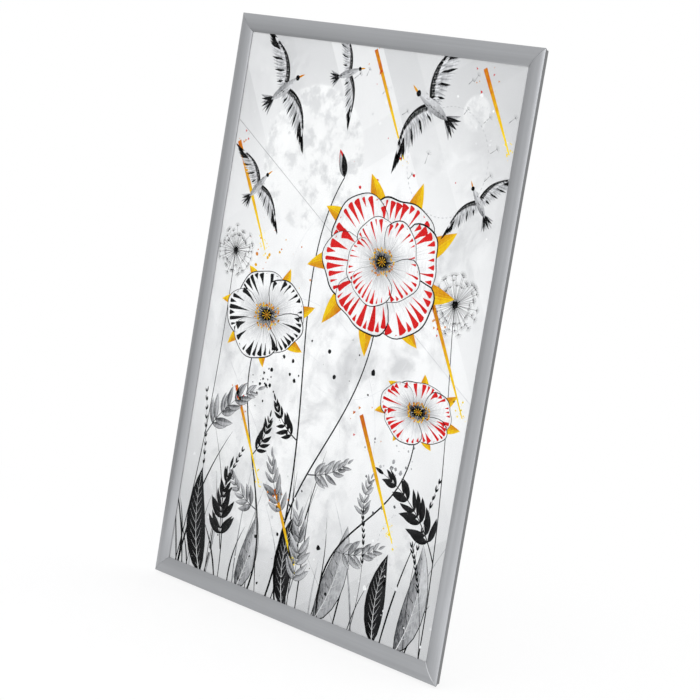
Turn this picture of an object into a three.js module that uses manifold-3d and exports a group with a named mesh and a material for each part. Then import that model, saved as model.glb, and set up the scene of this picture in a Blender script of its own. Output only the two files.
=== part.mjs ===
// Snap frame for a 700 x 1000 mm poster, in millimetres, as it hangs on a wall.
// Four mitred base rails, joined by barbed corner keys, carry a back panel, the print and a clear
// cover sheet. Four mitred snap rails hinge on the outer edge of the base and clamp the sheets
// with their inner lip. Leaf springs push every snap rail over its dead centre, open or shut.
// X runs to the right seen from the front, Z runs up, and the front faces -Y. The wall is the
// plane y = 0, and the origin lies on it in the middle of the frame.
import * as THREE from "three";
import { mergeVertices } from "three/addons/utils/BufferGeometryUtils.js";
import Module from "manifold-3d";

// The poster and how far the rails cover its edges
const posterWidth = 700;
const posterHeight = 1000;
const posterOverlap = 10;
const sheetCornerRadius = 1.5;

// The sheets, from the back to the front
const panelThickness = 1.5;
const printThickness = 0.2;
const coverThickness = 0.5;
const layerGap = 0.1;
const sheetEdgeClearance = 0.4;

// The convex face of the snap rail, which is one arc with its crest outside the middle
const profileWidth = 32;
const faceRadius = 34;
const crestInset = 14.5;
const skinThickness = 1.3;
const lipEdgeHeight = 0.75;
const lipClearance = 0.2;
const lipChamfer = 0.3;
const foldRadius = 0.6;
const lipRadius = 0.4;

// The hinge: a round bead on the base rail, and a claw on the snap rail that rolls on it
const pivotInset = 3.4;
const pivotBelowFold = 3.55;
const beadRadius = 1.25;
const hingeClearance = 0.15;
const clawWall = 1.2;
const clawTopAngle = 100;
const clawToeAngle = -68;
const toeReach = 0.9;
const toeWidthAngle = 9;
const legThickness = 1.5;
const noseAbovePivot = 1.6;
const clawEndInset = 14;

// The base rail
const webThickness = 1.2;
const baseWall = 1.2;
const footInset = 3.6;
const neckShift = 0.4;
const shelfHeight = 5.5;
const shelfEndUnderLip = 0.5;
const stopBelowCover = 0.2;
const channelOverhang = 1.5;
const channelLipThickness = 1;
const springHookReach = 0.8;
const springHookThickness = 0.7;
const springSeatHeight = 1.5;
const screwHoleRadius = 2.6;
const screwHoleFromCorner = 110;
const drillGrooveWidth = 0.8;
const drillGrooveDepth = 0.3;

// The corner keys, stamped plates that are pressed into the channels of two base rails
const keyWidth = 10.6;
const keyThickness = 2.2;
const keyLegLength = 62;
const keySideClearance = 0.2;
const keyFaceClearance = 0.1;
const keyCornerChamfer = 2.5;
const barbCount = 6;
const barbDepth = 0.45;
const barbFromTip = 4;
const barbFromBend = 5;

// The leaf springs, bowed strips between the claw's toe and the base
const springWidth = 44;
const springThickness = 0.5;
const springRise = 2.4;
const springSeatGap = 0.15;
const springToeAngle = -50;
const springsOnShortRail = 3;
const springsOnLongRail = 4;
const springFromCorner = 150;

// Gaps that the mitres leave, measured along each rail
const mitreGap = 0.2;

// How finely the round stretches are drawn
const faceSteps = 28;
const hingeSteps = 14;
const smallSteps = 4;
const holeSteps = 24;
const springSteps = 12;

// Sizes that follow from the ones above
const frameWidth = posterWidth + 2 * (profileWidth - posterOverlap);
const frameHeight = posterHeight + 2 * (profileWidth - posterOverlap);
const panelBottom = shelfHeight + layerGap;
const printBottom = panelBottom + panelThickness + layerGap;
const coverBottom = printBottom + printThickness + layerGap;
const coverTop = coverBottom + coverThickness;
const lipBottom = coverTop + lipClearance;
const faceCentreHeight =
  lipBottom + lipEdgeHeight - Math.sqrt(faceRadius ** 2 - (profileWidth - crestInset) ** 2);
const foldHeight = faceCentreHeight + Math.sqrt(faceRadius ** 2 - crestInset ** 2);
const pivotHeight = foldHeight - pivotBelowFold;
const noseBottom = pivotHeight + noseAbovePivot;
const seatRadius = beadRadius + hingeClearance;
const clawRadius = seatRadius + clawWall;
const stopInner = profileWidth - posterOverlap - sheetEdgeClearance;
const stopOuter = stopInner - baseWall;
const channelTop = webThickness + keyThickness + 2 * keyFaceClearance;
const channelRoof = channelTop + channelLipThickness;
const channelOuter = stopOuter - keyWidth - 2 * keySideClearance;
const channelMiddle = (channelOuter + stopOuter) / 2;
const barbPitch = (keyLegLength - keyWidth - barbFromBend - barbFromTip) / barbCount;

const wasm = await Module();
wasm.setup();

// A point of a section: u runs inwards from the frame's outer edge, v runs out from the wall.
const point = (u, v) => new THREE.Vector2(u, v);

// A point at an angle in degrees on a circle.
function polar(centre, radius, degrees) {
  const angle = THREE.MathUtils.degToRad(degrees);
  return point(centre.x + radius * Math.cos(angle), centre.y + radius * Math.sin(angle));
}

// The points of an arc, both ends included.
function arc(centre, radius, fromDegrees, toDegrees, steps) {
  const points = [];
  for (let i = 0; i <= steps; i++) {
    points.push(polar(centre, radius, fromDegrees + ((toDegrees - fromDegrees) * i) / steps));
  }
  return points;
}

// The direction from one point to another, in degrees.
function bearing(from, to) {
  return THREE.MathUtils.radToDeg(Math.atan2(to.y - from.y, to.x - from.x));
}

// A section drawn out along +z, centred on the origin.
function drawOut(points, length) {
  const shape = new THREE.Shape(points);
  const geometry = new THREE.ExtrudeGeometry(shape, { depth: length, bevelEnabled: false });
  return geometry.translate(0, 0, -length / 2);
}

// Moves both ends of a drawn-out section to a 45 degree mitre: the further in, the shorter.
function mitre(geometry, length) {
  const position = geometry.getAttribute("position");
  for (let i = 0; i < position.count; i++) {
    const end = length / 2 - position.getX(i) - mitreGap;
    position.setZ(i, Math.sign(position.getZ(i)) * end);
  }
  return geometry;
}

// Turns a section's axes (u, v, length) into those of a side: length along X, v along -Y, u along Z.
function layAlongSide(geometry) {
  const turned = new THREE.Matrix4().set(0, 0, 1, 0, 0, -1, 0, 0, 1, 0, 0, 0, 0, 0, 0, 1);
  return geometry.applyMatrix4(turned);
}

function toSolid(geometry) {
  const bare = geometry.index ? geometry.toNonIndexed() : geometry.clone();
  bare.deleteAttribute("normal");
  bare.deleteAttribute("uv");
  const merged = mergeVertices(bare, 1e-4);
  return new wasm.Manifold(
    new wasm.Mesh({
      numProp: 3,
      vertProperties: new Float32Array(merged.getAttribute("position").array),
      triVerts: new Uint32Array(merged.index.array),
    }),
  );
}

function toGeometry(solid) {
  const mesh = solid.getMesh();
  const geometry = new THREE.BufferGeometry();
  geometry.setAttribute("position", new THREE.BufferAttribute(mesh.vertProperties, 3));
  geometry.setIndex(new THREE.BufferAttribute(mesh.triVerts, 1));
  const flat = geometry.toNonIndexed();
  flat.computeVertexNormals();
  return flat;
}

// The base rail's section: web, hinge wall and bead, key channel, spring seat, stop and shelf.
function baseSection() {
  const pivot = point(pivotInset, pivotHeight);
  const below = (du) => -THREE.MathUtils.radToDeg(Math.acos(du / beadRadius));
  const neckOuter = 360 + below(-neckShift - baseWall / 2);
  const neckInner = below(baseWall / 2 - neckShift);
  const hookBottom = channelRoof + springSeatHeight;
  const stopTop = coverTop - stopBelowCover;
  const shelfTip = point(profileWidth - shelfEndUnderLip - baseWall / 2, shelfHeight - baseWall / 2);
  return [
    point(footInset, 0),
    ...arc(pivot, beadRadius, neckOuter, neckInner, hingeSteps),
    point(footInset + baseWall, webThickness),
    point(channelOuter - baseWall, webThickness),
    point(channelOuter - baseWall, channelRoof),
    point(channelOuter + channelOverhang, channelRoof),
    point(channelOuter + channelOverhang, channelTop),
    point(channelOuter, channelTop),
    point(channelOuter, webThickness),
    point(channelMiddle - drillGrooveWidth / 2, webThickness),
    point(channelMiddle, webThickness - drillGrooveDepth),
    point(channelMiddle + drillGrooveWidth / 2, webThickness),
    point(stopOuter, webThickness),
    point(stopOuter, channelTop),
    point(stopOuter - channelOverhang, channelTop),
    point(stopOuter - channelOverhang, channelRoof),
    point(stopOuter, channelRoof),
    point(stopOuter, hookBottom),
    point(stopOuter - springHookReach, hookBottom),
    point(stopOuter, hookBottom + springHookThickness),
    point(stopOuter, stopTop),
    point(stopInner, stopTop),
    point(stopInner, shelfHeight),
    ...arc(shelfTip, baseWall / 2, 90, -90, 2 * smallSteps),
    point(stopInner, shelfHeight - baseWall),
    point(stopInner, 0),
  ];
}

// The snap rail's outer part in section: nose, convex face and inner lip.
function faceSection() {
  const centre = point(crestInset, faceCentreHeight);
  const fold = filletCentre(centre, foldRadius, foldRadius);
  const lip = filletCentre(centre, lipRadius, profileWidth - lipRadius);
  const inside = faceRadius - skinThickness;
  const insideTo = (u) => bearing(centre, point(u, heightOnCircle(centre, inside, u)));
  const lipUnderside = crestInset + Math.sqrt(inside ** 2 - (lipBottom - faceCentreHeight) ** 2);
  return [
    point(0, noseBottom),
    ...arc(fold, foldRadius, 180, bearing(centre, fold), smallSteps),
    ...arc(centre, faceRadius, bearing(centre, fold), bearing(centre, lip), faceSteps).slice(1, -1),
    ...arc(lip, lipRadius, bearing(centre, lip), 0, smallSteps),
    point(profileWidth, lipBottom + lipChamfer),
    point(profileWidth - lipChamfer, lipBottom),
    ...arc(centre, inside, insideTo(lipUnderside), insideTo(skinThickness), faceSteps),
    point(skinThickness, noseBottom),
  ];
}

// The height of a circle's upper side over a place u.
function heightOnCircle(centre, radius, u) {
  return centre.y + Math.sqrt(radius ** 2 - (u - centre.x) ** 2);
}

// The centre, over a place u, of a round edge that touches the face's arc from inside.
function filletCentre(centre, radius, u) {
  return point(u, heightOnCircle(centre, faceRadius - radius, u));
}

// The snap rail's inner part in section: the leg, the claw round the bead and the toe.
function clawSection() {
  const pivot = point(pivotInset, pivotHeight);
  const legInner = pivotInset + clawRadius;
  const legOuter = legInner - legThickness;
  const legOuterAngle = THREE.MathUtils.radToDeg(Math.acos((legOuter - pivotInset) / clawRadius));
  const intoSkin = skinThickness / 2;
  const root = point(crestInset, faceCentreHeight);
  const rootRadius = faceRadius - skinThickness + intoSkin;
  const toeTop = clawToeAngle + toeWidthAngle;
  return [
    ...arc(pivot, seatRadius, clawToeAngle, clawTopAngle, hingeSteps),
    ...arc(pivot, clawRadius, clawTopAngle, legOuterAngle, smallSteps),
    point(legOuter, heightOnCircle(root, rootRadius, legOuter)),
    point(legInner, heightOnCircle(root, rootRadius, legInner)),
    ...arc(pivot, clawRadius, 0, toeTop, hingeSteps),
    polar(pivot, clawRadius + toeReach, toeTop),
    polar(pivot, clawRadius + toeReach, clawToeAngle),
  ];
}

// A leaf spring's section: a bowed strip from the claw's toe to its seat in the base.
function springSection() {
  const half = springThickness / 2;
  const pivot = point(pivotInset, pivotHeight);
  const outerEnd = polar(pivot, clawRadius + springSeatGap + springThickness / 2, springToeAngle);
  const innerEnd = point(stopOuter - springSeatGap - half, channelRoof + springSeatGap + half);
  const chord = outerEnd.distanceTo(innerEnd);
  const radius = chord ** 2 / 8 / springRise + springRise / 2;
  const middle = outerEnd.clone().lerp(innerEnd, 0.5);
  const across = bearing(outerEnd, innerEnd);
  const centre = polar(middle, radius - springRise, across - 90);
  const from = bearing(centre, outerEnd);
  const to = bearing(centre, innerEnd);
  return [
    ...arc(centre, radius + half, from, to, springSteps),
    ...arc(centre, radius - half, to, from, springSteps),
  ];
}

// Places along a rail, spread evenly between two ends that lie equally far from the corners.
function spread(count, length, fromCorner) {
  const reach = length / 2 - fromCorner;
  return Array.from({ length: count }, (_, i) => (count === 1 ? 0 : -reach + (2 * reach * i) / (count - 1)));
}

// One base rail, with the holes for its wall screws.
function baseRail(length, screwCount) {
  let solid = toSolid(layAlongSide(mitre(drawOut(baseSection(), length), length)));
  for (const along of spread(screwCount, length, screwHoleFromCorner)) {
    const hole = new THREE.CylinderGeometry(screwHoleRadius, screwHoleRadius, 4 * webThickness, holeSteps);
    solid = solid.subtract(toSolid(hole.translate(along, 0, channelMiddle)));
  }
  return toGeometry(solid);
}

// What is cut from the nose at one end, so that two open rails meet on the mitre as shut ones do.
function openMitreCut(length, side) {
  const low = noseBottom - 1;
  const high = pivotInset + pivotHeight + 1;
  const end = (v) => length / 2 - pivotInset - pivotHeight + v - mitreGap;
  const outside = length / 2 + 2;
  const outline = [point(end(low), low), point(outside, low), point(outside, high), point(end(high), high)];
  const wedge = drawOut(outline, 2 * pivotInset);
  wedge.rotateX(Math.PI);
  return toSolid(wedge.rotateY(side > 0 ? 0 : Math.PI));
}

// One snap rail. Its claw stops short of the corners, so that it clears the next rail's.
function snapRail(length) {
  const cover = toSolid(layAlongSide(mitre(drawOut(faceSection(), length), length)));
  const claw = toSolid(layAlongSide(drawOut(clawSection(), length - 2 * clawEndInset)));
  let solid = cover.add(claw);
  for (const side of [-1, 1]) {
    solid = solid.subtract(openMitreCut(length, side));
  }
  return toGeometry(solid);
}

// A leaf spring, at a place along its rail.
function leafSpring(along) {
  const strip = layAlongSide(drawOut(springSection(), springWidth));
  return strip.translate(along, 0, 0);
}

// The plate of a corner key, with both legs along the inner sides of the frame's corner.
function cornerKey() {
  const outer = channelOuter + keySideClearance;
  const inner = outer + keyWidth;
  const tip = outer + keyLegLength;
  const outerEdge = barbs(tip).map((p) => point(p.x, outer + p.y));
  const innerEdge = barbs(tip).map((p) => point(p.x, inner - p.y)).reverse();
  const alongX = [point(outer + keyCornerChamfer, outer), ...outerEdge, ...innerEdge];
  const alongZ = alongX.map((p) => point(p.y, p.x)).reverse();
  const shape = new THREE.Shape([...alongX, point(inner, inner), ...alongZ]);
  const plate = new THREE.ExtrudeGeometry(shape, { depth: keyThickness, bevelEnabled: false });
  return plate.rotateX(Math.PI / 2).translate(0, -webThickness - keyFaceClearance, 0);
}

// The barbs along one edge of a key's leg, as places along the leg and depths below its edge.
function barbs(tip) {
  const points = [];
  for (let i = barbCount; i > 0; i--) {
    const root = tip - barbFromTip - i * barbPitch;
    points.push(point(root, 0), point(root, barbDepth), point(root + barbPitch, 0));
  }
  points.push(point(tip - barbFromTip / 2, 0), point(tip, barbFromTip / 2));
  return points;
}

// A flat sheet of the poster's size.
function sheet(thickness, bottom) {
  const x = posterWidth / 2 - sheetCornerRadius;
  const z = posterHeight / 2 - sheetCornerRadius;
  const corner = (cx, cz, from) => arc(point(cx, cz), sheetCornerRadius, from, from + 90, smallSteps);
  const outline = [...corner(x, z, 0), ...corner(-x, z, 90), ...corner(-x, -z, 180), ...corner(x, -z, 270)];
  const plate = new THREE.ExtrudeGeometry(new THREE.Shape(outline), { depth: thickness, bevelEnabled: false });
  return plate.rotateX(Math.PI / 2).translate(0, -bottom, 0);
}

const finish = {
  anodised: new THREE.MeshStandardMaterial({ color: 0xa9abae, roughness: 0.42, metalness: 0.9 }),
  base: new THREE.MeshStandardMaterial({ color: 0x9a9ca0, roughness: 0.45, metalness: 0.9 }),
  steel: new THREE.MeshStandardMaterial({ color: 0x8d9094, roughness: 0.35, metalness: 1 }),
  spring: new THREE.MeshStandardMaterial({ color: 0x6f7479, roughness: 0.3, metalness: 1 }),
  panel: new THREE.MeshStandardMaterial({ color: 0xe9eaea, roughness: 0.6, metalness: 0 }),
  print: new THREE.MeshStandardMaterial({ color: 0xdadadb, roughness: 0.7, metalness: 0 }),
  cover: new THREE.MeshStandardMaterial({
    color: 0xf4f7f8,
    roughness: 0.25,
    metalness: 0,
    transparent: true,
    opacity: 0.25,
  }),
};

function node(name, geometry, material) {
  const mesh = new THREE.Mesh(geometry, material);
  mesh.name = name;
  return mesh;
}

// A side of the frame: its origin is the middle of the outer edge, and Z points inwards.
function sideGroup(side) {
  const group = new THREE.Group();
  group.rotation.y = THREE.MathUtils.degToRad(side.turn);
  group.position.set(side.x, 0, side.z);
  group.add(node(`base_rail_${side.name}`, baseRail(side.length, side.screws), finish.base));
  group.add(node(`snap_rail_${side.name}`, snapRail(side.length), finish.anodised));
  spread(side.springs, side.length, springFromCorner).forEach((along, i) => {
    group.add(node(`leaf_spring_${side.name}_${i + 1}`, leafSpring(along), finish.spring));
  });
  return group;
}

// A corner of the frame: its origin is the outer corner, and its X and Z point inwards.
function cornerGroup(corner) {
  const group = new THREE.Group();
  group.rotation.y = THREE.MathUtils.degToRad(corner.turn);
  group.position.set(corner.x, 0, corner.z);
  group.add(node(`corner_key_${corner.name}`, cornerKey(), finish.steel));
  return group;
}

const halfWidth = frameWidth / 2;
const halfHeight = frameHeight / 2;
const shortSide = { length: frameWidth, screws: 2, springs: springsOnShortRail };
const longSide = { length: frameHeight, screws: 3, springs: springsOnLongRail };
const sides = [
  { name: "bottom", turn: 0, x: 0, z: -halfHeight, ...shortSide },
  { name: "right", turn: -90, x: halfWidth, z: 0, ...longSide },
  { name: "top", turn: 180, x: 0, z: halfHeight, ...shortSide },
  { name: "left", turn: 90, x: -halfWidth, z: 0, ...longSide },
];
const corners = [
  { name: "bottom_left", turn: 0, x: -halfWidth, z: -halfHeight },
  { name: "bottom_right", turn: -90, x: halfWidth, z: -halfHeight },
  { name: "top_right", turn: 180, x: halfWidth, z: halfHeight },
  { name: "top_left", turn: 90, x: -halfWidth, z: halfHeight },
];

const group = new THREE.Group();
sides.forEach((side) => group.add(sideGroup(side)));
corners.forEach((corner) => group.add(cornerGroup(corner)));
group.add(node("back_panel", sheet(panelThickness, panelBottom), finish.panel));
group.add(node("poster_print", sheet(printThickness, printBottom), finish.print));
group.add(node("cover_sheet", sheet(coverThickness, coverBottom), finish.cover));

export default group;
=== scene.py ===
"""A snap frame with its poster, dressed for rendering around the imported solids. Metres, Z up."""

import cmath
import math
import random

import bmesh
import bpy
from mathutils import Matrix, Vector


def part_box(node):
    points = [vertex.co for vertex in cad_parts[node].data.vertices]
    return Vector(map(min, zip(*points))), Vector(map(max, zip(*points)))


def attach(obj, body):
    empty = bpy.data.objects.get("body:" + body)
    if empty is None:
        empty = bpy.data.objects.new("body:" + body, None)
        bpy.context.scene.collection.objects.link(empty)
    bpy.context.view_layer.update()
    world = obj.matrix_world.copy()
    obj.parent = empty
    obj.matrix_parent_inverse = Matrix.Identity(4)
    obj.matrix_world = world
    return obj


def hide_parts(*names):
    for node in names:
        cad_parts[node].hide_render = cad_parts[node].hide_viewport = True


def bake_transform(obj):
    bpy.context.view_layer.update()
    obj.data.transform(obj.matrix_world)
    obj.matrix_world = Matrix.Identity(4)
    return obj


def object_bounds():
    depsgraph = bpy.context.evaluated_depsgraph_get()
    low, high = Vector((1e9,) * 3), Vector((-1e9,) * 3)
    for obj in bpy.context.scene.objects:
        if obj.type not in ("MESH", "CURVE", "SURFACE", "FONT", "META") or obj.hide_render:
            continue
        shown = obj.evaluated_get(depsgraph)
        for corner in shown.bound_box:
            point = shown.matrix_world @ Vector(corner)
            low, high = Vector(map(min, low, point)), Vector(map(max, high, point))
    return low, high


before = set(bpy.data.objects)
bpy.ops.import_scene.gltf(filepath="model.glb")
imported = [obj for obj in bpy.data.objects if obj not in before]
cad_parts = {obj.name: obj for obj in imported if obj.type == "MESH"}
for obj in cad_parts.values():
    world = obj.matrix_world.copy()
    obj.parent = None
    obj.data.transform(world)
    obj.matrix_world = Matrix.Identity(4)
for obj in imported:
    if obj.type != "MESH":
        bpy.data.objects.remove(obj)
cad_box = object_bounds()

MM = 0.001
WHITE = (1, 1, 1)

# Camera: its place and its right and up axes in the frame's own space
CAMERA_PLACE = Vector((2.6982, -2.5990, 0.3511))
CAMERA_RIGHT = Vector((0.67718, 0.71750, 0.16316))
CAMERA_UP = Vector((-0.18587, -0.04775, 0.98141))
LENS = 112.05
SENSOR = 36.0
CLIP_END = 60

# Floor, whose shadow pales between two distances from the frame
FLOOR_DROP = 4 * MM
FLOOR_SIZE = 14.0
FLOOR_COLOUR = (0.9, 0.9, 0.905)
SHADOW_NEAR = 0.5
SHADOW_FAR = 1.3
SHADOW_PALENESS = 0.78
FLOOR_LEVEL = cad_box[0].z - FLOOR_DROP
ON_FLOOR = FLOOR_LEVEL + 1 * MM

# Lamps: place, the point that each faces, size and power in watts
LAMPS = {
    "front": ((2.1, -4.2, 1.75), (0.1, 0, 0.1), (4.4, 3.2), 72),
    "above": ((0.4, -0.6, 3.4), (0, 0, 0), (3.0, 3.0), 12),
}

# Cards that only gloss sees: place, size, the point that each faces, and its tone
CARDS = {
    "side_flag": ((0.753, 0.587, 0.19), (1.28, 1.43), (0.372, 0, 0.19), 0.5),
    "side_floor_flag": ((0.76, 0.45, ON_FLOOR), (0.8, 0.88), (0.76, 0.45, 1), 0.5),
    "left_flag": ((-2.0, -0.75, 0.1), (1.6, 1.3), (0, 0, 0.1), 0.76),
    "left_floor_flag": ((-1.55, -0.6, ON_FLOOR), (1.0, 1.6), (-1.55, -0.6, 1), 0.5),
    "right_card": ((0.8, -0.15, ON_FLOOR), (0.86, 0.24), (0.8, -0.15, 1), 1.6),
    "front_right_card": ((0.68, -0.62, ON_FLOOR), (1.04, 0.7), (0.68, -0.62, 1), 1.7),
    "front_left_card": ((-0.41, -0.62, ON_FLOOR), (0.42, 0.7), (-0.41, -0.62, 1), 1.7),
}

# Sides: the axis that each rail runs along, and the way in from its outer edge
ALONG = {"bottom": "X", "right": "Z", "top": "X", "left": "Z"}
INWARD = {"bottom": (0, 0, 1), "right": (-1, 0, 0), "top": (0, 0, -1), "left": (1, 0, 0)}

# Extrusions: colour and roughness
SNAP_RAIL_METAL = ((0.380, 0.388, 0.403), 0.38)
BASE_RAIL_METAL = ((0.42, 0.425, 0.43), 0.34)
BARE_METAL_GAIN = 1.22

# Mitre edges: millimetres across the bright strip of bare metal, wider at the bottom-right corner,
# where it is a painted highlight
WORN_WIDTH = 0.22
PAINTED_HIGHLIGHT_WIDTH = 1.3
MITRE_STRIP_TAPER = (2 * MM, 9 * MM)
WORN_AND_HIGHLIGHT_COLOUR = (0.7, 0.71, 0.73)

# Shading: faces that meet at less than this angle look round, and points this near are one
CREASE_ANGLE = 28
WELD_REACH = 0.002 * MM

# Leaf springs in section, in millimetres: inwards from the frame's edge + out from the wall j.
SPRING_SEAT = 20.0 + 5.0j
SPRING_TIP = 5.33 + 4.70j
SPRING_CHORD = abs(SPRING_TIP - SPRING_SEAT)
SPRING_RISE = 2.4
SPRING_THICKNESS = 0.5
SPRING_CORNER = 4.0
SPRING_STEPS = 32
SPRING_BENDS = (9.6, 5.7)

# Cover sheet: what each face lets through, and how much it gleams
COVER_CLEARNESS = (0.967, 0.970, 0.972)
COVER_GLOSS_IOR = 1.10

# Print: depths in millimetres over the paper, and each ink's dark and light tone
INK_GAP = 0.004
INK_STEP = 0.002
INK_THICKNESS = 0.001
PRINT_MARGIN = 3
PRINT_GLOSS = 0.03
INK_COLOURS = {
    "white": ((0.89, 0.89, 0.89), (0.3, 0.305, 0.32)),
    "grey": ((0.06, 0.062, 0.067), (0.78, 0.785, 0.8)),
    "black": ((0.002, 0.002, 0.0023), (0.026, 0.0265, 0.028)),
    "red": ((0.52, 0.003, 0.008), (0.74, 0.03, 0.025)),
    "gold": ((0.54, 0.12, 0.008), (0.93, 0.72, 0.012)),
}

# Printed ground: its colours, and where it is lit
PAPER_BACK = (0.8, 0.8, 0.79)
GROUND_LIGHT = (0.9, 0.9, 0.9)
GROUND_DIM = (0.59, 0.592, 0.597)
GROUND_SHADE = (0.42, 0.43, 0.44)
DISC_LIGHT = (0.9, 0.9, 0.895)
DISC_PITS = (0.66, 0.665, 0.67)
CLOUD_GREY = (0.36, 0.365, 0.38)
SPECK_COLOUR = (0.93, 0.93, 0.93)
GROUND_LIT = (30j, 380, 200)

# Bands: degrees across the band, where it starts and ends in millimetres, light or dark amount
GROUND_BANDS = (
    (32, 150, 262, 0.42),
    (32, 262, 330, -0.16),
    (32, 20, 64, -0.08),
    (32, -60, 10, 0.3),
    (32, -330, -214, -0.16),
    (-58, 240, 420, 0.34),
    (-58, -300, -236, -0.12),
)

# Discs and clouds: centre, radius and softness in millimetres, and amount
GROUND_DISCS = (
    (-96 - 196j, 214, 5, 0.5),
    (-128 + 286j, 128, 3, 1.0),
    (244 + 404j, 30, 3, 0.8),
    (250 - 330j, 48, 26, 0.6),
)
GROUND_CLOUDS = (
    (90 + 40j, 190, 120, 0.52),
    (-230 - 20j, 100, 90, 0.5),
    (-60 - 260j, 150, 130, 0.46),
    (230 + 250j, 100, 90, 0.4),
    (-250 + 400j, 60, 90, 0.4),
)
CLOUD_LIGHT_AMOUNT = 0.6

# Artwork: a petal's rows from its foot to its rim with their shades, and its points across
ART_SEED = 11
PETAL_ROWS = (0.06, 0.25, 0.45, 0.65, 0.82, 0.94, 1.0)
PETAL_SHADES = (0.62, 0.42, 0.22, 0.08, 0.0, 0.05, 0.16)
PETAL_ACROSS = 24
PETAL_RUFFLE = 0.05
STAMENS = 46
SEED_HAIRS = 54

# The poster's lowest and highest corners, and the depth of its printed face
sheet_low, sheet_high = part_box("poster_print")
print_face = sheet_low.y


# Shader helpers


def add(tree, kind, values=None, **settings):
    """A new shader node of a kind, its settings made and its inputs set or linked."""
    made = tree.nodes.new(f"ShaderNode{kind}")
    for key, value in settings.items():
        setattr(made, key, value)
    for key, value in (values or {}).items():
        socket = made.inputs[key]
        if isinstance(value, bpy.types.NodeSocket):
            tree.links.new(value, socket)
        else:
            socket.default_value = (*value, 1) if socket.type == "RGBA" else value
    return made


def fill(owner, output, shader, *details):
    """Gives a material or the world the shader that shader(tree, *details) ends in."""
    owner.use_nodes = True
    tree = owner.node_tree
    tree.nodes.clear()
    add(tree, output, {"Surface": shader(tree, *details).outputs[0]})


def new_material(name, shader, *details):
    """A material of one shader."""
    material = bpy.data.materials.new(name)
    fill(material, "OutputMaterial", shader, *details)
    return material


def principled(tree, make, *details):
    """A Principled shader with the inputs that make(tree, place, *details) gives."""
    return add(tree, "BsdfPrincipled", make(tree, place_on_piece(tree), *details))


def surface(name, make, *details):
    """A material of one Principled shader."""
    return new_material(name, principled, make, *details)


def place_on_piece(tree):
    """The shaded point in its piece's own space, in metres."""
    return add(tree, "TexCoord").outputs["Object"]


def facing(tree, axis):
    """How far a face turns towards an axis of its piece, from -1 to 1."""
    normal = add(tree, "TexCoord").outputs["Normal"]
    return add(tree, "SeparateXYZ", {0: normal}).outputs[axis]


def maths(tree, operation, *values):
    """The result of a Math node."""
    made = add(tree, "Math", dict(enumerate(values)), operation=operation)
    return made.outputs[0]


def vector_maths(tree, operation, *values):
    """The result of a Vector Math node, which is a number for some operations."""
    made = add(tree, "VectorMath", dict(enumerate(values)), operation=operation)
    gives_number = operation in ("DISTANCE", "DOT_PRODUCT", "LENGTH")
    return made.outputs["Value" if gives_number else "Vector"]


def product(tree, first, *others):
    """Several values multiplied."""
    for other in others:
        first = maths(tree, "MULTIPLY", first, other)
    return first


def remap(tree, value, low, high, to_low=0.0, to_high=1.0, smooth=False):
    """Value brought from low..high to to_low..to_high, held at both ends."""
    values = dict(enumerate((value, low, high, to_low, to_high)))
    kind = "SMOOTHSTEP" if smooth else "LINEAR"
    return add(tree, "MapRange", values, interpolation_type=kind).outputs[0]


def noise_to(tree, value, low, high):
    """Noise, which mostly lies between 0.3 and 0.7, brought to low..high."""
    return remap(tree, value, 0.3, 0.7, low, high)


def mix_values(tree, factor, first, second):
    """The number between two numbers."""
    return add(tree, "Mix", {0: factor, 2: first, 3: second}).outputs[0]


def mix(tree, factor, first, second, blend="MIX"):
    """The colour between two colours."""
    values = {0: factor, 6: first, 7: second}
    return add(tree, "Mix", values, data_type="RGBA", blend_type=blend).outputs[2]


def shaded(tree, colour, value):
    """A colour times a changing value."""
    even = add(tree, "CombineColor", {0: value, 1: value, 2: value})
    return mix(tree, 1.0, colour, even.outputs[0], "MULTIPLY")


def noise(tree, place, scale, detail=3.0, roughness=0.5):
    """Noise between 0 and 1 at a place, scale in cycles per metre."""
    values = {"Vector": place, "Scale": scale, "Detail": detail, "Roughness": roughness}
    return add(tree, "TexNoise", values).outputs["Fac"]


def stretched(tree, place, scale):
    """A place with its axes stretched."""
    return vector_maths(tree, "MULTIPLY", place, scale)


def flattened(tree, place):
    """A place seen square on, without its depth."""
    return stretched(tree, place, (1, 0, 1))


def lines_along(tree, place, along, fine, slow, detail=3.0):
    """Noise drawn out along one axis, as rolling and drawing leave it."""
    scale = [slow if axis == along else fine for axis in "XYZ"]
    return noise(tree, stretched(tree, place, scale), 1.0, detail)


def relief(tree, height, depth, strength=0.2):
    """A normal from a height, depth in millimetres."""
    values = {"Height": height, "Strength": strength, "Distance": depth * MM}
    return add(tree, "Bump", values).outputs[0]


# Metal and plastic


def mitre_wear_and_highlight(tree, place, along):
    """1 on the strip by a mitre: bare metal from the saw, widened at the bottom right into a
    painted highlight.
    """
    spot = add(tree, "SeparateXYZ", {0: place}).outputs
    from_side, from_top = (
        maths(tree, "SUBTRACT", cad_box[1][i], maths(tree, "ABSOLUTE", spot[i])) for i in (0, 2)
    )
    ways = (from_side, from_top) if along == "X" else (from_top, from_side)
    from_mitre = maths(tree, "SUBTRACT", *ways)
    # The bottom-right corner, where the strip is widened into a painted highlight
    at_right = maths(tree, "GREATER_THAN", spot[0], 0.0)
    at_foot = maths(tree, "LESS_THAN", spot[2], 0.0)
    highlight_corner = product(tree, at_right, at_foot)
    wide = remap(tree, highlight_corner, 0, 1, WORN_WIDTH * MM, PAINTED_HIGHLIGHT_WIDTH * MM)
    uneven = noise_to(tree, noise(tree, place, 620.0), 0.8, 1.2)
    from_tip = maths(tree, "MINIMUM", from_side, from_top)
    tapered = remap(tree, from_tip, *MITRE_STRIP_TAPER, 0.2, 1.0)
    return maths(tree, "LESS_THAN", from_mitre, product(tree, wide, uneven, tapered))


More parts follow.
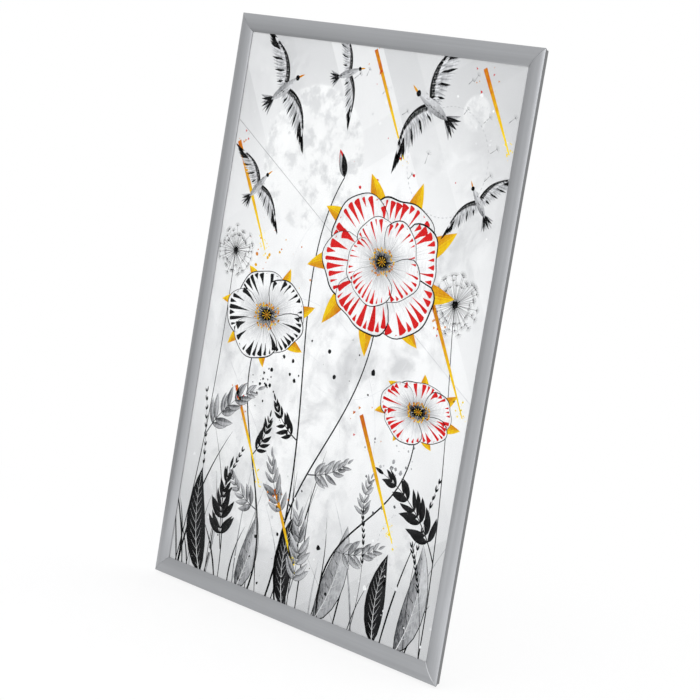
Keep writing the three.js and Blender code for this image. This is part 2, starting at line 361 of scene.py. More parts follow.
def saw_marks(tree, place):
    """The ridges that a saw leaves on a cut end."""
    values = {"Vector": place, "Scale": 420.0, "Distortion": 3.0, "Detail": 2.0}
    return add(tree, "TexWave", values, bands_direction="DIAGONAL").outputs["Fac"]


def extruded(tree, place, along, colour, rough):
    """Satin aluminium: die lines along the rail, and bare saw-cut ends."""
    lines = lines_along(tree, place, along, 900.0, 3.0, 2.0)
    bands = lines_along(tree, place, along, 160.0, 1.2)
    saw = saw_marks(tree, place)
    end = maths(tree, "ABSOLUTE", facing(tree, "XYZ".index(along)))
    cut = maths(tree, "GREATER_THAN", end, 0.35)
    shade = product(
        tree,
        noise_to(tree, bands, 0.955, 1.03),
        noise_to(tree, lines, 0.97, 1.03),
        noise_to(tree, noise(tree, place, 9.0, 2.0), 0.985, 1.015),
    )
    bare = tuple(part * BARE_METAL_GAIN for part in colour)
    skin = mix(tree, cut, shaded(tree, colour, shade), bare)
    face_rough = remap(tree, lines, 0.25, 0.75, rough - 0.035, rough + 0.035)
    cut_rough = remap(tree, saw, 0.0, 1.0, 0.24, 0.36)
    return {
        # The strip by each mitre is brightened: partly bare metal, and at the bottom right a
        # painted highlight
        "Base Color": mix(tree, mitre_wear_and_highlight(tree, place, along), skin, WORN_AND_HIGHLIGHT_COLOUR),
        "Metallic": 1.0,
        "Roughness": mix_values(tree, cut, face_rough, cut_rough),
        "Normal": relief(tree, mix_values(tree, cut, lines, saw), 0.02, 0.1),
    }


def zinc_steel(tree, place):
    """Stamped and zinc-plated: dull grey flakes with a faint cool and warm cast."""
    cells = add(tree, "TexVoronoi", {"Vector": place, "Scale": 420.0})
    flake = add(tree, "SeparateColor", {0: cells.outputs["Color"]}).outputs
    cast = noise(tree, place, 60.0, 2.0)
    tint = mix(tree, cast, (0.5, 0.52, 0.55), (0.56, 0.545, 0.51))
    return {
        "Base Color": shaded(tree, tint, remap(tree, flake[0], 0, 1, 0.86, 1.06)),
        "Metallic": 1.0,
        "Roughness": remap(tree, flake[1], 0, 1, 0.27, 0.44),
        "Normal": relief(tree, noise(tree, place, 700.0), 0.05),
    }


def spring_steel(tree, place, along):
    """Tempered strip: dark, with grinding lines along it and a straw to blue cast."""
    lines = lines_along(tree, place, along, 1800.0, 14.0)
    heat = noise(tree, place, 30.0, 2.0)
    tint = mix(tree, heat, (0.17, 0.19, 0.23), (0.27, 0.24, 0.2))
    return {
        "Base Color": shaded(tree, tint, noise_to(tree, lines, 0.85, 1.12)),
        "Metallic": 1.0,
        "Roughness": noise_to(tree, lines, 0.22, 0.36),
        "Normal": relief(tree, lines, 0.02),
    }


def board_plastic(tree, place):
    """Extruded polystyrene board: off-white, with orange peel and faint handling marks."""
    peel = noise(tree, place, 650.0, 2.0)
    sweepings = noise(tree, stretched(tree, place, (7.0, 7.0, 2.2)), 1.0, 6.0, 0.7)
    marks = remap(tree, sweepings, 0.6, 0.72, 0.0, 1.0)
    dimmed = product(tree, marks, 0.035)
    tone = maths(tree, "SUBTRACT", noise_to(tree, peel, 0.99, 1.01), dimmed)
    return {
        "Base Color": shaded(tree, (0.77, 0.77, 0.755), tone),
        "Roughness": remap(tree, marks, 0.0, 1.0, 0.46, 0.58),
        "Normal": relief(tree, peel, 0.06, 0.25),
    }


def clear_cover(tree):
    """Clear plastic with a matt, glare-free face."""
    clear = add(tree, "BsdfTransparent", {"Color": COVER_CLEARNESS})
    rough = noise_to(tree, noise(tree, place_on_piece(tree), 6.0), 0.27, 0.33)
    values = {"Base Color": WHITE, "Metallic": 1.0, "Roughness": rough}
    sheen = add(tree, "BsdfPrincipled", values)
    # Only faces met from outside gleam, as light crosses the sheet without being bent in it
    fresnel = add(tree, "Fresnel", {"IOR": COVER_GLOSS_IOR}).outputs[0]
    inside = add(tree, "NewGeometry").outputs["Backfacing"]
    gloss = product(tree, fresnel, maths(tree, "SUBTRACT", 1.0, inside))
    shown = {0: gloss, 1: clear.outputs[0], 2: sheen.outputs[0]}
    return add(tree, "MixShader", shown)


# Paper and ink


def soft_disc(tree, place, centre, radius, softness):
    """1 inside a circle on the poster, fading to 0 over its softness, in millimetres."""
    middle = (centre.real * MM, 0, centre.imag * MM)
    reach = vector_maths(tree, "DISTANCE", flattened(tree, place), middle)
    inner, outer = (radius - softness) * MM, (radius + softness) * MM
    return remap(tree, reach, inner, outer, 1.0, 0.0, smooth=True)


def across(tree, place, degrees):
    """Distance across the poster in one direction, in metres."""
    step = turn(1, degrees)
    return vector_maths(tree, "DOT_PRODUCT", place, (step.real, 0, step.imag))


def swirled(tree, place):
    """The flat place pulled into swirls by a slow offset."""
    values = {"Vector": place, "Scale": 5.0, "Detail": 2.0}
    slow = add(tree, "TexNoise", values).outputs["Color"]
    drift = stretched(tree, slow, (0.16, 0.0, 0.16))
    return vector_maths(tree, "ADD", flattened(tree, place), drift)


def with_bands(tree, place, ground):
    """The ground with its broad lighter and darker bands."""
    for degrees, start, end, amount in GROUND_BANDS:
        run = across(tree, place, degrees)
        past_start = maths(tree, "GREATER_THAN", run, start * MM)
        before_end = maths(tree, "LESS_THAN", run, end * MM)
        fade = remap(tree, across(tree, place, degrees + 90), -0.5, 0.5, 0.25, 1.0)
        inside = product(tree, past_start, before_end, fade, abs(amount))
        tint = GROUND_LIGHT if amount > 0 else GROUND_SHADE
        ground = mix(tree, inside, ground, tint)
    return ground


def with_discs(tree, place, ground):
    """The ground with its pitted discs."""
    mottle = noise(tree, place, 16.0, 6.0, 0.62)
    pits = remap(tree, noise(tree, place, 27.0, 7.0, 0.66), 0.47, 0.63, smooth=True)
    face = mix(tree, pits, DISC_LIGHT, DISC_PITS)
    for centre, radius, softness, amount in GROUND_DISCS:
        inside = soft_disc(tree, place, centre, radius, softness)
        patchy = remap(tree, mottle, 0.38, 0.62, amount * 0.6, amount)
        ground = mix(tree, product(tree, inside, patchy), ground, face)
    return ground


def with_clouds(tree, place, ground):
    """The ground with patches of grey smoke, lit in places."""
    swirl = swirled(tree, place)
    smoke = remap(tree, noise(tree, swirl, 13.0, 7.0, 0.6), 0.44, 0.66, smooth=True)
    lit = remap(tree, noise(tree, swirl, 21.0, 6.0, 0.6), 0.5, 0.7, smooth=True)
    for centre, radius, softness, amount in GROUND_CLOUDS:
        inside = soft_disc(tree, place, centre, radius, softness)
        ground = mix(tree, product(tree, inside, smoke, amount), ground, CLOUD_GREY)
        pale = product(tree, inside, lit, CLOUD_LIGHT_AMOUNT)
        ground = mix(tree, pale, ground, GROUND_LIGHT)
    return ground


def with_specks(tree, place, ground):
    """The ground with small white specks of several sizes."""
    values = {"Vector": flattened(tree, place), "Scale": 22.0}
    cells = add(tree, "TexVoronoi", values).outputs
    size = add(tree, "SeparateColor", {0: cells["Color"]}).outputs[0]
    size = remap(tree, size, 0.4, 1.0, 0.0, 0.045)
    speck = maths(tree, "LESS_THAN", cells["Distance"], size)
    return mix(tree, product(tree, speck, 0.85), ground, SPECK_COLOUR)


def poster_paper(tree, place):
    """Satin poster paper: printed pale-grey ground in front, plain white behind."""
    ground = mix(tree, soft_disc(tree, place, *GROUND_LIT), GROUND_DIM, GROUND_LIGHT)
    for layer in (with_bands, with_discs, with_clouds):
        ground = layer(tree, place, ground)
    wash = noise_to(tree, noise(tree, place, 4.2, 5.0, 0.55), 0.95, 1.04)
    ground = with_specks(tree, place, shaded(tree, ground, wash))
    fibre = noise_to(tree, noise(tree, place, 900.0, 2.0), 0.985, 1.01)
    front = maths(tree, "LESS_THAN", facing(tree, 1), -0.5)
    skin = mix(tree, front, PAPER_BACK, ground)
    return {
        "Base Color": shaded(tree, skin, fibre),
        "Roughness": remap(tree, fibre, 0.98, 1.01, 0.44, 0.54),
        "Specular IOR Level": PRINT_GLOSS,
        "Normal": relief(tree, fibre, 0.02, 0.08),
    }


def printed_ink(tree, place, dark, light):
    """Ink that goes from dark to light by its printed tone, with the grain of a wash."""
    tone = add(tree, "Attribute", attribute_name="tone").outputs["Fac"]
    brushed = noise(tree, stretched(tree, place, (260.0, 0.0, 90.0)), 1.0, 5.0, 0.65)
    pooled = noise_to(tree, noise(tree, place, 38.0), -0.12, 0.12)
    drift = maths(tree, "ADD", noise_to(tree, brushed, -0.2, 0.2), pooled)
    shade = remap(tree, maths(tree, "ADD", tone, drift), 0.0, 1.0)
    return {
        "Base Color": mix(tree, shade, dark, light),
        "Roughness": remap(tree, shade, 0.0, 1.0, 0.38, 0.5),
        "Specular IOR Level": PRINT_GLOSS,
    }


# Pieces


def dress(node, material):
    """Gives a CAD node its material and clean shading."""
    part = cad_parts[node]
    for slot in part.material_slots:
        slot.material = material
    mesh = part.data
    for name in ("custom_normal", "sharp_edge"):
        if name in mesh.attributes:
            mesh.attributes.remove(mesh.attributes[name])
    mesh.shade_smooth()
    weld = part.modifiers.new("weld", "WELD")
    weld.merge_threshold = WELD_REACH
    split = part.modifiers.new("crease", "EDGE_SPLIT")
    split.split_angle = math.radians(CREASE_ANGLE)


def add_piece(mesh, material):
    """A new piece of one mesh in one material."""
    mesh.materials.append(material)
    return add_object(mesh.name, mesh)


def add_object(name, data):
    """A new object in the scene."""
    made = bpy.data.objects.new(name, data)
    bpy.context.scene.collection.objects.link(made)
    return made


def on_side(side, along, inwards, outwards):
    """A point of a side's section, from millimetres to metres."""
    axis, inward = ALONG[side], Vector(INWARD[side])
    edge = -inward * (cad_box[1].z if axis == "X" else cad_box[1].x)
    place = edge + inward * inwards * MM
    place.y = -outwards * MM
    place["XYZ".index(axis)] = along
    return place


def spring_bow(t):
    """The middle of the strip at t, from 0 at its seat to 1 at its tip, and its way out."""
    radius = SPRING_CHORD**2 / 8 / SPRING_RISE + SPRING_RISE / 2
    half_angle = math.asin(SPRING_CHORD / 2 / radius)
    down = (SPRING_TIP - SPRING_SEAT) / SPRING_CHORD * 1j
    centre = (SPRING_SEAT + SPRING_TIP) / 2 + down * (radius - SPRING_RISE)
    out = -down * cmath.exp(1j * half_angle * (1 - 2 * t))
    return centre + out * radius, out


def spring_half_width(t, half):
    """Half the strip's width, less where its corners are rounded."""
    from_end = min(t, 1 - t) * SPRING_CHORD
    if from_end >= SPRING_CORNER:
        return half
    lost = SPRING_CORNER - math.sqrt(SPRING_CORNER**2 - (SPRING_CORNER - from_end) ** 2)
    return half - lost * MM


def spring_row(side, middle, half, t):
    """The four corners of the strip's section at t."""
    place, out = spring_bow(t)
    wide = spring_half_width(t, half)
    corners = []
    for face, end in ((0.5, -1), (0.5, 1), (-0.5, 1), (-0.5, -1)):
        skin = place + out * face * SPRING_THICKNESS
        corners.append(on_side(side, middle + end * wide, skin.real, skin.imag))
    return corners


def make_spring(node, material):
    """A bowed strip in the node's place, which is hidden."""
    side = node.split("_")[2]
    low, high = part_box(node)
    axis = "XYZ".index(ALONG[side])
    middle, half = (low[axis] + high[axis]) / 2, (high[axis] - low[axis]) / 2
    grid = bmesh.new()
    rows = []
    for i in range(SPRING_STEPS + 1):
        t = (1 - math.cos(math.pi * i / SPRING_STEPS)) / 2
        rows.append([grid.verts.new(corner) for corner in spring_row(side, middle, half, t)])
    for first, second in zip(rows[:-1], rows[1:]):
        for k in range(4):
            after = (k + 1) % 4
            grid.faces.new((first[k], first[after], second[after], second[k]))
    grid.faces.new(rows[0][::-1])
    grid.faces.new(rows[-1])
    bmesh.ops.recalc_face_normals(grid, faces=grid.faces)
    mesh = bpy.data.meshes.new(node.replace("leaf_spring", "spring_strip"))
    grid.to_mesh(mesh)
    grid.free()
    mesh.shade_smooth()
    mesh.set_sharp_from_angle(angle=math.radians(CREASE_ANGLE))
    piece = add_piece(mesh, material)
    ends = [on_side(side, middle, inwards, SPRING_TIP.imag) for inwards in SPRING_BENDS]
    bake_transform(piece)
    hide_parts(node)


def dress_all():
    """Every node gets its material, or a finer piece in its place."""
    steel = surface("zinc_steel", zinc_steel)
    sheets = {
        "back_panel": surface("white_board", board_plastic),
        "poster_print": surface("poster_paper", poster_paper),
        "cover_sheet": new_material("clear_cover", clear_cover),
    }
    rails, springs = {}, {}
    for along in "XZ":
        silver = surface(f"anodised_silver_{along}", extruded, along, *SNAP_RAIL_METAL)
        mill = surface(f"mill_silver_{along}", extruded, along, *BASE_RAIL_METAL)
        rails.update({("snap", along): silver, ("base", along): mill})
        springs[along] = surface(f"spring_steel_{along}", spring_steel, along)
    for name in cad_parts:
        if name in sheets:
            dress(name, sheets[name])
        elif name.startswith("corner_key"):
            dress(name, steel)
        elif name.startswith("leaf_spring"):
            make_spring(name, springs[ALONG[name.split("_")[2]]])
        else:
            kind, _, side = name.split("_")
            dress(name, rails[kind, ALONG[side]])


# Print: flat shapes on the poster, as complex numbers x + z j in millimetres


class Ink:
    """The shapes printed in one ink, as a thin film, each at its own level over the paper."""

    def __init__(self, name):
        self.name = name
        self.points = []
        self.tones = []
        self.faces = []

    def point(self, place, tone, level):
        """Adds one vertex and returns its number."""
        depth = INK_GAP + level * INK_STEP
        self.points.append((place.real * MM, print_face - depth * MM, place.imag * MM))
        self.tones.append(min(1.0, max(0.0, tone)))
        return len(self.points) - 1

    def strip(self, first, second, first_tones, second_tones, level):
        """A band of faces between two rows of as many points."""
        row = [self.point(p, t, level) for p, t in zip(first, first_tones)]
        other = [self.point(p, t, level) for p, t in zip(second, second_tones)]
        for i in range(len(row) - 1):
            self.faces.append((row[i], row[i + 1], other[i + 1], other[i]))

    def fan(self, centre, rim, centre_tone, rim_tone, level):
        """A closed round shape: triangles from a centre to a rim."""
        middle = self.point(centre, centre_tone, level)
        edge = [self.point(p, rim_tone, level) for p in rim]
        for i, here in enumerate(edge):
            self.faces.append((middle, here, edge[(i + 1) % len(edge)]))

    def build(self):
        """The film as a closed piece that rides on the base with the print."""
        mesh = bpy.data.meshes.new(f"print_ink_{self.name}")
        mesh.from_pydata(self.points, [], self.faces)
        tone = mesh.attributes.new("tone", "FLOAT", "POINT")
        tone.data.foreach_set("value", self.tones)
        trim_to_sheet(mesh)
        for polygon in mesh.polygons:
            if polygon.normal.y > 0:
                polygon.flip()
        material = surface(f"ink_{self.name}", printed_ink, *INK_COLOURS[self.name])
        piece = add_piece(mesh, material)
        film = piece.modifiers.new("film", "SOLIDIFY")
        film.thickness = INK_THICKNESS * MM
        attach(piece, "base")


def trim_to_sheet(mesh):
    """Cuts off what runs over the poster's margin."""
    grid = bmesh.new()
    grid.from_mesh(mesh)
    for outwards in ((-1, 0, 0), (1, 0, 0), (0, 0, -1), (0, 0, 1)):
        corner = sheet_high if sum(outwards) > 0 else sheet_low
        bmesh.ops.bisect_plane(
            grid,
            geom=[*grid.verts, *grid.edges, *grid.faces],
            plane_co=corner - Vector(outwards) * PRINT_MARGIN * MM,
            plane_no=outwards,
            clear_outer=True,
        )
    loose = [point for point in grid.verts if not point.link_faces]
    bmesh.ops.delete(grid, geom=loose, context="VERTS")
    grid.to_mesh(mesh)
    grid.free()


INKS = [Ink(name) for name in INK_COLOURS]
white, grey, black, red, gold = INKS
chance = random.Random(ART_SEED)
between = chance.uniform
pick = chance.choice


def turn(length, degrees, tilt=1.0):
    """A step in a direction, counter-clockwise from the right, its height times a tilt."""
    step = cmath.rect(length, math.radians(degrees))
    return complex(step.real, step.imag * tilt)


def sweep(start, heading, length, bend, steps):
    """Points along an arc that starts at a heading and bends by some degrees."""
    points = [start]
    for i in range(steps):
        points.append(points[-1] + turn(length / steps, heading + bend * (i + 0.5) / steps))
    return points


def bezier(corners, steps):
    """Points along a cubic curve through its first and last corner."""
    a, b, c, d = corners
    points = []
    for i in range(steps + 1):
        t = i / steps
        s = 1 - t
        points.append(s**3 * a + 3 * s * s * t * b + 3 * s * t * t * c + t**3 * d)
    return points


def heading_at(path, i):
    """The direction of a path at its point i, in degrees."""
    step = path[min(i + 1, len(path) - 1)] - path[max(i - 1, 0)]
    return math.degrees(cmath.phase(step))


def sides_of(path, widths):
    """The two edges of a stroke of changing width."""
    left, right = [], []
    for i, (here, width) in enumerate(zip(path, widths)):
        out = turn(width / 2, heading_at(path, i) + 90)
        left.append(here + out)
        right.append(here - out)
    return left, right


def stroke(ink, path, widths, tones, level):
    """A brush stroke along a path: widths and tones go evenly from first to last."""
    last = len(path) - 1
    wide = [spread_over(widths, i / last) for i in range(last + 1)]
    tone = [spread_over(tones, i / last) for i in range(last + 1)]
    left, right = sides_of(path, wide)
    ink.strip(left, right, tone, tone, level)


def spread_over(values, t):
    """The value at t, from 0 to 1, along a few evenly spaced values."""
    at = t * (len(values) - 1)
    i = min(int(at), len(values) - 2)
    return values[i] + (values[i + 1] - values[i]) * (at - i)


def dot(ink, centre, radius, tone, level, sides, rough=0.0):
    """A round spot, with an uneven rim where rough is above 0."""
    rim = []
    for i in range(sides):
        reach = radius * (1 + (between(-rough, rough) if rough else 0))
        rim.append(centre + turn(reach, 360 * i / sides))
    ink.fan(centre, rim, tone, tone, level)


def ring(centre, radius, width, tone, dashes):
    """A thin circle, whole or in dashes."""
    steps = 72
    if not dashes:
        inner, outer = (
            [centre + turn(reach, 360 * i / steps) for i in range(steps + 1)]
            for reach in (radius - width / 2, radius + width / 2)
        )
        tones = [tone] * (steps + 1)
        grey.strip(inner, outer, tones, tones, 0)
    for k in range(dashes):
        arc = [centre + turn(radius, 360 * (k + part) / dashes) for part in (0, 0.25, 0.5)]
        stroke(grey, arc, (width, width), (tone, tone), 0)


def leaf(ink, base, heading, length, width, bend, tones, level, pen=None):
    """A pointed leaf: a darker and a lighter half along a bent midrib, outlined by a pen."""
    dark, light = tones
    steps = 8
    midrib = sweep(base, heading, length, bend, steps)
    shape = [width * math.sin(math.pi * (i / steps) ** 0.8) ** 0.9 for i in range(steps)]
    left, right = sides_of(midrib, [*shape, 0.0])
    deep = [dark + (light - dark) * 0.4 * i / steps for i in range(steps + 1)]
    pale = [dark + (light - dark) * (0.45 + 0.55 * i / steps) for i in range(steps + 1)]
    mid = [(a + b) / 2 for a, b in zip(deep, pale)]
    ink.strip(left, midrib, deep, mid, level)
    ink.strip(midrib, right, pale, pale, level)
    if pen:
        leaf_lines(pen, midrib, left, right, 0.45 + 0.006 * length, level + 1)


def leaf_lines(pen, midrib, left, right, line, level):
    """A leaf's outline and the hatching on its darker half, drawn with a pen."""
    outline = [*left, *right[-2::-1]]
    stroke(pen, outline, (line, line * 0.5, line * 1.4), (0.3, 0), level)
    for i in range(1, len(midrib) - 1):
        foot = midrib[i] * 0.8 + left[i] * 0.2
        tip = left[i] * 0.75 + midrib[i + 1] * 0.25
        stroke(pen, [foot, tip], (line, 0.2), (0, 0.6), level)


def sprig(ink, base, heading, length, bend, pairs, leaf_length, tones, level):
    """A stem with leaves on both sides that grow shorter towards its tip."""
    pen = black if ink is grey else None
    path = sweep(base, heading, length, bend, 16)
    stroke(ink, path, (2.6, 1.8, 0.8), tones, level)
    for k in range(pairs):
        at = 2 + round(13 * (k + 0.5) / pairs)
        size = leaf_length * (1 - 0.55 * (k / pairs) ** 1.5) * between(0.85, 1.12)
        for side in (1, -1):
            lean = side * (58 - 26 * k / pairs) + between(-7, 7)
            curl = -side * between(10, 45)
            shade = between(-0.08, 0.16)
            tint = (tones[0] + shade, tones[1] + shade)
            wide = size * between(0.25, 0.33)
            layer = level + 1 + 2 * ((k + (side > 0)) % 3)
            way = heading_at(path, at) + lean
            leaf(ink, path[at], way, size, wide, curl, tint, layer, pen)
    way = heading_at(path, 16)
    leaf(ink, path[-1], way, leaf_length * 0.5, leaf_length * 0.14, 0, tones, level + 7)


def grain_head(foot, heading, length, bend):
    """A blade with a seed head of small leaning grains."""
    path = sweep(foot, heading, length, bend, 20)
    stroke(black, path, (1.6, 1.0, 0.6), (0.1, 0.5), 3)
    for i in range(12, 21):
        for side in (1, -1):
            way = heading_at(path, i) + side * between(18, 34)
            long = between(8, 13)
            leaf(black, path[i], way, long, 3.2, -side * 20, (0.1, 0.5), 4 + i % 2)


def seed_clock(centre, radius):
    """A round seed head: hairs from a small heart, each with a tuft."""
    dot(black, centre, radius * 0.12, 0.0, 3, 14, 0.12)
    for k in range(SEED_HAIRS):
        angle = 360 * k / SEED_HAIRS + between(-3, 3)
        reach = radius * pick((0.62, 0.82, 1)) * between(0.93, 1)
        tip = centre + turn(reach, angle)
        stroke(black, [centre + turn(radius * 0.1, angle), tip], (0.7, 0.5), (0, 0.35), 4)
        tuft(black, tip, angle, radius * 0.16, 0.35, 5)


def tuft(ink, tip, angle, size, tone, level):
    """The small parachute at the end of a hair."""
    for lean in (-66, -38, -13, 13, 38, 66):
        line = [tip, tip + turn(size, angle + lean)]
        stroke(ink, line, (0.55, 0.3), (tone, tone), level)


def petal_rows(centre, angle, radius, half_width, tilt):
    """A petal as rows of points from its foot to its rim."""
    phases = [between(0, math.tau) for _ in range(3)]
    rows = []
    for r in PETAL_ROWS:
        row = []
        for i in range(PETAL_ACROSS + 1):
            a = 2 * i / PETAL_ACROSS - 1
            swell = math.sin(math.pi * min(r, 0.97) ** 0.75 * 0.62)
            wave = sum(math.sin(k * 2.3 * a + p) / k for k, p in zip((1, 2, 4), phases))
            edge = 1 - 0.14 * a**2 - 0.10 * a**6 + PETAL_RUFFLE * wave * r**4
            reach = radius * r * edge
            row.append(centre + turn(reach, angle + a * half_width * swell, tilt))
        rows.append(row)
    return rows


def bloom(centre, radius, tilt, petals, spin, flames, level, crowned=True):
    """An open flower of pale petals, flamed in an ink and a width, with a heart if crowned."""
    angles = [spin + 360 * k / petals for k in range(petals)]
    angles.sort(key=lambda angle: -math.sin(math.radians(angle)))
    for rank, angle in enumerate(angles):
        angle += between(-6, 6)
        size = radius * between(0.92, 1.05)
        rows = petal_rows(centre, angle, size, 360 / petals * 0.72, tilt)
        here = level + rank * 3
        petal(rows, size * 0.010, here)
        petal_flames(rows, *flames, here + 2)
        petal_hatching(rows, here + 2)
    if crowned:
        heart(centre, radius, tilt, level + 3 * petals)


def petal(rows, pen, level):
    """A petal's pale face, shaded towards its foot and sides, and its outline."""
    outline = [row[0] for row in rows[:-1]] + rows[-1] + [row[-1] for row in rows[-2::-1]]
    widths = (pen * 0.5, pen, pen * 1.6, pen * 2.2, pen)
    stroke(black, outline, widths, (0.5, 0.1, 0.3), level + 2)
    edge_shade = [0.16 * (2 * j / PETAL_ACROSS - 1) ** 2 for j in range(PETAL_ACROSS + 1)]
    for i in range(len(rows) - 1):
        tone_low = [PETAL_SHADES[i] + shade for shade in edge_shade]
        tone_high = [PETAL_SHADES[i + 1] + shade for shade in edge_shade]
        white.strip(rows[i], rows[i + 1], tone_low, tone_high, level + 1)


def petal_flames(rows, ink, flame, level):
    """Brushed flames from a petal's rim towards its foot."""
    last = len(rows) - 1
    for j in range(2, PETAL_ACROSS - 1, 2):
        depth = pick((2, 3, 3, 4)) if j % 4 else pick((3, 4, 5))
        path = [rows[i][j] for i in range(last, depth - 1, -1)]
        path[0] = path[0] * 0.25 + path[1] * 0.75
        widest = abs(rows[last][j] - rows[last][j - 2]) * flame * between(0.5, 1.3)
        tones = (between(0, 0.3), 0.7)
        stroke(ink, path, (widest * 0.5, widest, widest * 0.5, 0.3), tones, level)


def petal_hatching(rows, level):
    """Fine pen lines that shade a petal from its foot outwards."""
    for j in range(1, PETAL_ACROSS):
        for _ in range(2):
            reach = pick((2, 3, 3, 4))
            aside = between(-0.5, 0.5)
            path = [row[j] + (row[j + 1] - row[j]) * aside for row in rows[: reach + 1]]
            stroke(grey, path, (0.4, 0.55, 0.2), (0.1, 0.8), level)


def heart(centre, radius, tilt, level):
    """A flower's dark heart with a crown of stamens."""
    for k in range(STAMENS):
        angle = 360 * k / STAMENS + between(-3, 3)
        reach = radius * between(0.2, 0.33)
        tip = centre + turn(reach, angle, tilt)
        foot = centre + turn(radius * 0.1, angle, tilt)
        stroke(black, [foot, tip], (0.7, 0.5), (0.1, 0.3), level)
        dot(gold, tip, radius * 0.016 + 0.5, between(0, 0.7), level + 1, 7)
    rim = [centre + turn(radius * 0.13, 24 * i, tilt) for i in range(15)]
    black.fan(centre, rim, 0.35, 0.0, level + 2)
    for k in range(9):
        ray = centre + turn(radius * 0.11, 40 * k + 8, tilt)
        stroke(gold, [centre, ray], (0.5, 1.3), (0.2, 0.6), level + 3)


def bud(base, heading, length):
    """A closed bud: a red tongue between a grey and a black sepal."""
    leaf(red, base, heading, length * 1.12, length * 0.42, 6, (0, 0.5), 6)
    leaf(grey, base, heading + 13, length, length * 0.3, -18, (0.1, 0.6), 7)
    leaf(black, base, heading - 13, length * 0.96, length * 0.3, 20, (0, 0.5), 8)


def bird(centre, size, heading, spread):
    """A bird in flight: a fanned tail, two feathered wings, a body, a head and a bill."""
    tail = centre - turn(size * 0.2, heading)
    for k in range(7):
        lean = (k - 3) * 8
        feather = black if k % 2 else grey
        long = size * between(0.30, 0.36)
        way = heading + 180 + lean
        leaf(feather, tail, way, long, size * 0.055, lean, (0, 0.55), 5 + k % 2)
    shoulder = centre + turn(size * 0.1, heading)
    for side in (1, -1):
        wing(shoulder, size, heading, side, spread)
    head = centre + turn(size * 0.4, heading + 3)
    leaf(gold, head, heading - 6, size * 0.17, size * 0.035, -8, (0, 0.4), 14)
    rump = tail - turn(size * 0.08, heading)
    leaf(grey, rump, heading, size * 0.72, size * 0.16, 4, (0.15, 0.85), 15)
    for k in range(14):
        root = tail + turn(size * between(0, 0.5), heading + between(-9, 9))
        tick = [root, root + turn(size * 0.05, heading + 180 + between(-14, 14))]
        stroke(black, tick, (0.9, 0.3), (0, 0.3), 16)
    dot(black, head, size * 0.045, 0.05, 17, 12, 0.08)


def wing(shoulder, size, heading, side, spread):
    """A wing: long flight feathers, two shorter rows over them, and a dark leading edge."""
    front = sweep(shoulder, heading + side * spread, size * 0.9, side * (128 - spread), 24)
    for i in range(2, 25):
        out = (i - 2) / 22
        lean = heading + side * (172 - 58 * out) + between(-2, 2)
        long = size * (0.24 + 0.20 * math.sin(math.pi * out * 0.75))
        dark = out > 0.6 or i % 4 == 0
        feather, tones = (black, (0, 0.45)) if dark else (grey, (0.15, 0.85))
        leaf(feather, front[i], lean, long, size * 0.058, -side * 12, tones, 7 + i % 2)
    for reach, back, first in ((0.17, 164, 0.3), (0.09, 156, 0.6)):
        for i in range(1, 23):
            lean = heading + side * (back - 50 * i / 23) + between(-3, 3)
            feather = grey if (i + (reach > 0.1)) % 3 else white
            leaf(feather, front[i], lean, size * reach, size * 0.05, 0, (first, 1), 10 + i % 2)
    stroke(black, front, (size * 0.05, size * 0.035, size * 0.02, 0.4), (0.1, 0.3), 13)


def broad_leaf(ink, base, heading, length, width, bend):
    """A large leaf with its midrib and side veins."""
    pen = black if ink is grey else None
    leaf(ink, base, heading, length, width, bend, (0, 0.75), 2, pen)
    midrib = sweep(base, heading, length * 0.95, bend * 0.95, 12)
    stroke(white, midrib, (1.8, 1.0, 0.4), (0.2, 0.5), 4)
    for i in range(1, 11):
        reach = width * math.sin(math.pi * (i / 12) ** 0.8) * 0.42
        for side in (1, -1):
            way = heading_at(midrib, i) + side * 42
            vein = sweep(midrib[i], way, reach * 1.25, -side * 16, 4)
            stroke(white, vein, (0.8, 0.3), (0.4, 0.8), 4)


def sepals(centre, radius, tilt, spin, count):
    """Pointed bracts that show between and beyond a flower's petals."""
    for k in range(count):
        angle = spin + 360 * k / count
        foot = centre + turn(radius * 0.5, angle, tilt)
        tip = centre + turn(radius * 1.24, angle + 5, tilt)
        way = math.degrees(cmath.phase(tip - foot))
        length = abs(tip - foot)
        leaf(gold, foot, way, length, radius * 0.24, 14, (0, 0.75), 6)
        for aside in (-9, 0, 9):
            vein = sweep(foot, way + aside, length * 0.92, 14 - aside * 1.6, 5)
            stroke(gold, vein, (0.9, 0.8, 0.3), (0, 0), 7)


def streak(start, end, width):
    """A fast tapered dash from orange to yellow, with splinters by its thick end."""
    path = [start + (end - start) * i / 12 for i in range(13)]
    stroke(gold, path, (width, width * 0.8, width * 0.25), (0, 1), 5)
    length = abs(end - start)
    away = (end - start) / length
    for _ in range(9):
        along = between(-0.06, 0.3) * length
        off = between(-1, 1) * width * 3.2
        place = start + away * complex(along, off)
        size = between(1.2, 4.4)
        rim = [place + turn(size * between(0.5, 1.2), a) for a in (10, 130, 250)]
        pick((gold, gold, red)).fan(place, rim, 0.1, 0.1, 6)
    for _ in range(16):
        along = between(-0.16, 0.05) * length
        place = end + away * complex(along, between(-1.2, 1.2) * width)
        dot(gold, place, between(0.5, 2.0), 1.0, 6, 8, 0.3)


def spatter(ink, centre, count, reach, largest):
    """Drops of ink thrown around a place."""
    for k in range(count):
        place = centre + turn(reach * between(0.05, 1) ** 1.3, between(0, 360))
        size = largest * between(0.12, 1) ** 2.2 + 0.35
        dot(ink, place, size, between(0, 0.5), 2 + k % 3, 9, 0.22)


